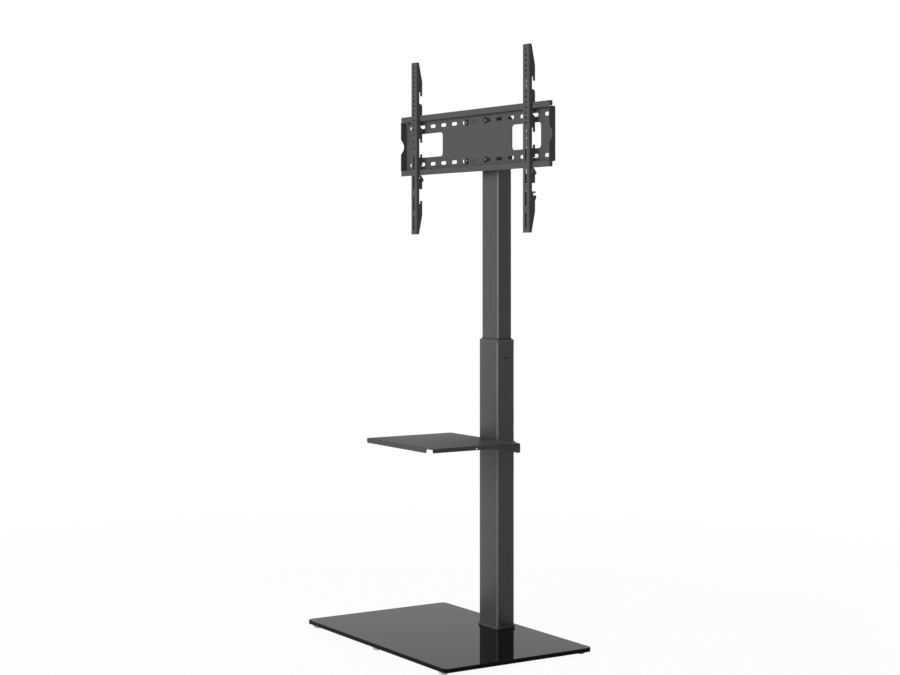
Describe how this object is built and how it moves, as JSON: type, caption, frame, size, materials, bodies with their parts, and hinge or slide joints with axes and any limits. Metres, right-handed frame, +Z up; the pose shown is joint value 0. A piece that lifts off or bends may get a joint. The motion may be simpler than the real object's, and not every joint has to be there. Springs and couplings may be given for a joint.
{
  "type": "tv stand with mount",
  "caption": "Floor stand for a flat screen: glass base, telescopic column, sliding media shelf and a rail plate with hooked mounting arms.",
  "frame": {"origin": "on the floor under the middle of the glass base", "axes": "+Z up, -Y towards the side that carries the screen, +X to the right for someone who faces that side"},
  "size_m": [0.672, 0.42, 1.4597],
  "materials": {
    "powder_coat": "satin charcoal powder coat",
    "dark_bolt_steel": "blackened steel",
    "zinc_steel": "zinc plated",
    "base_glass": "black toughened glass with a polished edge",
    "foot_rubber": "pale grey moulded",
    "black_rubber": "matte",
    "black_plastic": "fine texture"
  },
  "bodies": {
    "base": {"base_glass": "base_glass", "base_foot_1": "foot_rubber", "base_foot_2": "foot_rubber", "base_foot_3": "foot_rubber", "base_foot_4": "foot_rubber", "base_foot_5": "foot_rubber", "base_foot_6": "foot_rubber", "base_clamp_gasket": "black_rubber", "base_clamp_plate": "dark_bolt_steel", "base_bolt_1": "zinc_steel", "base_bolt_2": "zinc_steel", "base_bolt_3": "zinc_steel", "base_bolt_4": "zinc_steel", "column_foot_gasket": "black_rubber", "column_foot_block": "dark_bolt_steel", "column_trim_collar": "black_plastic", "column_lower_tube": "powder_coat", "column_top_collar": "black_plastic"},
    "lock_screw": {"height_lock_screw": "dark_bolt_steel"},
    "mast": {"column_upper_tube": "powder_coat", "column_slide_shoe": "black_plastic", "column_head_cap": "black_plastic", "head_bracket": "powder_coat", "head_cross_bolt_lower": "dark_bolt_steel", "head_cross_bolt_upper": "dark_bolt_steel", "head_cross_nut_lower": "zinc_steel", "head_cross_nut_upper": "zinc_steel", "mount_plate": "powder_coat", "plate_washer_1": "dark_bolt_steel", "plate_bolt_1": "dark_bolt_steel", "plate_washer_2": "dark_bolt_steel", "plate_bolt_2": "dark_bolt_steel", "plate_washer_3": "dark_bolt_steel", "plate_bolt_3": "dark_bolt_steel", "plate_washer_4": "dark_bolt_steel", "plate_bolt_4": "dark_bolt_steel"},
    "shelf": {"shelf_tray": "powder_coat", "shelf_saddle": "powder_coat", "shelf_front_pad": "black_rubber", "shelf_rear_pad": "black_rubber", "shelf_strap": "powder_coat", "shelf_clamp_bolt_left": "dark_bolt_steel", "shelf_clamp_bolt_right": "dark_bolt_steel", "shelf_clamp_nut_left": "zinc_steel", "shelf_clamp_nut_right": "zinc_steel"},
    "left_arm_set": {"left_arm": "powder_coat", "left_latch_pin": "dark_bolt_steel"},
    "left_latch_set": {"left_latch": "dark_bolt_steel"},
    "right_arm_set": {"right_arm": "powder_coat", "right_latch_pin": "dark_bolt_steel"},
    "right_latch_set": {"right_latch": "dark_bolt_steel"}
  },
  "joints": [
    {"name": "column_height", "type": "slide", "parent": "base", "child": "mast", "axis": [0, 0, 1], "range_m": [-0.3, 0.1]},
    {"name": "shelf_height", "type": "slide", "parent": "base", "child": "shelf", "axis": [0, 0, 1], "range_m": [-0.35, 0.2]},
    {"name": "height_lock", "type": "slide", "parent": "base", "child": "lock_screw", "axis": [1, 0, 0], "range_m": [0, 0.003]},
    {"name": "left_arm_spread", "type": "slide", "parent": "mast", "child": "left_arm_set", "axis": [-1, 0, 0], "range_m": [-0.154, 0.065]},
    {"name": "right_arm_spread", "type": "slide", "parent": "mast", "child": "right_arm_set", "axis": [1, 0, 0], "range_m": [-0.154, 0.065]},
    {"name": "left_latch_turn", "type": "hinge", "parent": "left_arm_set", "child": "left_latch_set", "pos_m": [-0.2544, 0.0795, 1.138], "axis": [1, 0, 0], "range_deg": [-15, 0], "stiffness_Nm_per_rad": 0.05, "springref_deg": 9.74},
    {"name": "right_latch_turn", "type": "hinge", "parent": "right_arm_set", "child": "right_latch_set", "pos_m": [0.2544, 0.0795, 1.138], "axis": [1, 0, 0], "range_deg": [-15, 0], "stiffness_Nm_per_rad": 0.05, "springref_deg": 9.74}
  ]
}
